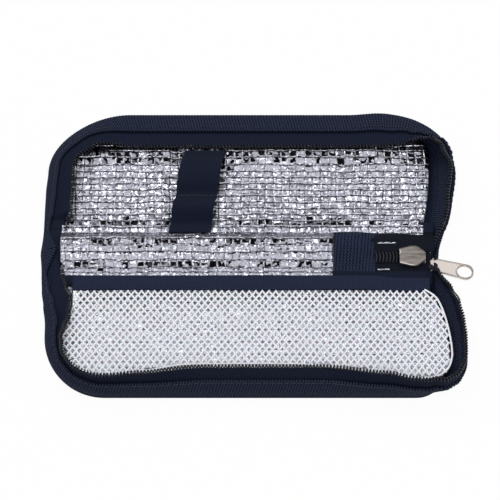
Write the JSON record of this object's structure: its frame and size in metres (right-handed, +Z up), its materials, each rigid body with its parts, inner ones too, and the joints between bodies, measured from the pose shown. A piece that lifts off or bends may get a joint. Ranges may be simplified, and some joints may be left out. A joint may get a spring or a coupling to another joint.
{
  "type": "insulin cooling case",
  "caption": "Soft zip-around cooling case lying open, with foil lining, mesh pocket, pen loops and a metal zip slider.",
  "frame": {"origin": "middle of the underside of the tray's outer panel", "axes": "+X along the spine towards the zip slider, +Y from the tray to the lid, +Z up from the surface the open case lies on"},
  "size_m": [0.1928, 0.163, 0.0183],
  "materials": {
    "outer_cloth": "matt woven polyester",
    "ribbed_webbing": "ribbed polyester webbing",
    "woven_tape": "smooth woven tape",
    "coil_nylon": "semi-gloss nylon coil",
    "foam": "closed-cell foam",
    "foil": "puckered metallised film over a scrim",
    "white_net": "knitted nylon mesh",
    "zinc": "tumbled die-cast zinc, nickel plated",
    "nickel": "satin nickel plate"
  },
  "bodies": {
    "tray": {"tray_outer_panel": "outer_cloth", "tray_foam_board": "foam", "tray_foil_lining": "foil", "tray_wall_webbing": "ribbed_webbing", "tray_zip_tape": "woven_tape", "tray_zip_coil": "coil_nylon", "pocket_mesh": "white_net", "pocket_binding": "woven_tape"},
    "spine": {"spine_outer_webbing": "ribbed_webbing", "spine_foam_core": "foam", "spine_foil_lining": "foil", "spine_end_gusset": "ribbed_webbing", "zip_end_tab": "ribbed_webbing", "tray_side_tail_tape": "woven_tape", "lid_side_tail_tape": "woven_tape", "closed_zip_chain": "coil_nylon"},
    "lid": {"lid_outer_panel": "outer_cloth", "lid_foam_board": "foam", "lid_foil_lining": "foil", "lid_wall_webbing": "ribbed_webbing", "lid_zip_tape": "woven_tape", "lid_zip_coil": "coil_nylon", "pen_loop_strap": "woven_tape", "pen_loop_stitching": "woven_tape"},
    "slider": {"slider_body": "zinc", "slider_bridge": "zinc"},
    "pull": {"pull_tab": "nickel"}
  },
  "joints": [
    {"name": "spine_fold", "type": "hinge", "parent": "tray", "child": "spine", "pos_m": [0, 0.03225, 0.0045], "axis": [1, 0, 0], "range_deg": [0, 90]},
    {"name": "lid_fold", "type": "hinge", "parent": "spine", "child": "lid", "pos_m": [0, 0.05725, 0.0045], "axis": [1, 0, 0], "range_deg": [0, 90]},
    {"name": "slider_travel", "type": "slide", "parent": "spine", "child": "slider", "axis": [-1, 0, 0], "range_m": [0, 0.008]},
    {"name": "pull_swing", "type": "hinge", "parent": "slider", "child": "pull", "pos_m": [0.07665, 0.04132, 0.00318], "axis": [0.2504, 0.9352, 0.2506], "range_deg": [0, 120]}
  ]
}
